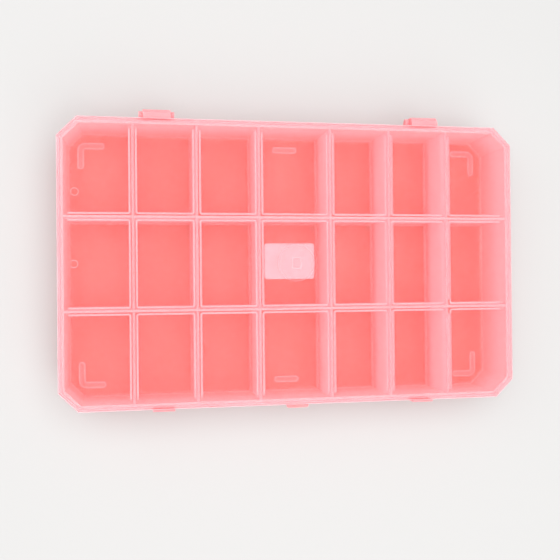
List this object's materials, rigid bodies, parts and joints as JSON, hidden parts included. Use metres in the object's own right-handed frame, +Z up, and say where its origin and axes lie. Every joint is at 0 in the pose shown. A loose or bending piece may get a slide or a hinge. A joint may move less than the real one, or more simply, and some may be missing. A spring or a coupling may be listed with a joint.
{
  "type": "compartment box with hinged lid",
  "caption": "Shallow translucent bead box with cut corners, fixed walls between its compartments and one hinged lid whose rib frames close each compartment by itself.",
  "frame": {"origin": "middle of the box's whole outline, hinges and thumb tab counted, at the feet's undersides", "axes": "+X along the long side to the right, +Y towards the hinges at the back, +Z up through the lid"},
  "size_m": [0.275, 0.175, 0.0382],
  "materials": {
    "tray_plastic": "frosted translucent",
    "lid_plastic": "frosted translucent",
    "label_film": "matte"
  },
  "bodies": {
    "tray": {"tray_shell": "tray_plastic", "row_divider_front": "tray_plastic", "row_divider_back": "tray_plastic", "column_divider_1": "tray_plastic", "column_divider_2": "tray_plastic", "column_divider_3": "tray_plastic", "column_divider_4": "tray_plastic", "column_divider_5": "tray_plastic", "column_divider_6": "tray_plastic", "corner_foot_front_left": "tray_plastic", "corner_foot_front_right": "tray_plastic", "corner_foot_back_left": "tray_plastic", "corner_foot_back_right": "tray_plastic", "middle_foot_front": "tray_plastic", "middle_foot_back": "tray_plastic", "hinge_ear_left_outer": "tray_plastic", "hinge_ear_left_inner": "tray_plastic", "hinge_ear_right_outer": "tray_plastic", "hinge_ear_right_inner": "tray_plastic", "hinge_bar_left": "tray_plastic", "hinge_bar_right": "tray_plastic", "catch_ridge_left": "tray_plastic", "catch_ridge_right": "tray_plastic"},
    "lid": {"lid_panel": "lid_plastic", "lid_skirt": "lid_plastic", "cell_frame_front_1": "lid_plastic", "cell_frame_front_2": "lid_plastic", "cell_frame_front_3": "lid_plastic", "cell_frame_front_4": "lid_plastic", "cell_frame_front_5": "lid_plastic", "cell_frame_front_6": "lid_plastic", "cell_frame_front_7": "lid_plastic", "cell_frame_middle_1": "lid_plastic", "cell_frame_middle_2": "lid_plastic", "cell_frame_middle_3": "lid_plastic", "cell_frame_middle_4": "lid_plastic", "cell_frame_middle_5": "lid_plastic", "cell_frame_middle_6": "lid_plastic", "cell_frame_middle_7": "lid_plastic", "cell_frame_back_1": "lid_plastic", "cell_frame_back_2": "lid_plastic", "cell_frame_back_3": "lid_plastic", "cell_frame_back_4": "lid_plastic", "cell_frame_back_5": "lid_plastic", "cell_frame_back_6": "lid_plastic", "cell_frame_back_7": "lid_plastic", "lid_knuckle_left": "lid_plastic", "lid_knuckle_right": "lid_plastic", "lid_catch_left": "lid_plastic", "lid_catch_right": "lid_plastic", "thumb_tab": "lid_plastic", "gate_disc": "lid_plastic", "gate_mark": "lid_plastic", "blank_label": "label_film"}
  },
  "joints": [
    {"name": "lid_hinge", "type": "hinge", "parent": "tray", "child": "lid", "pos_m": [0, 0.08495, 0.0296], "axis": [-1, 0, 0], "range_deg": [0, 180]}
  ]
}
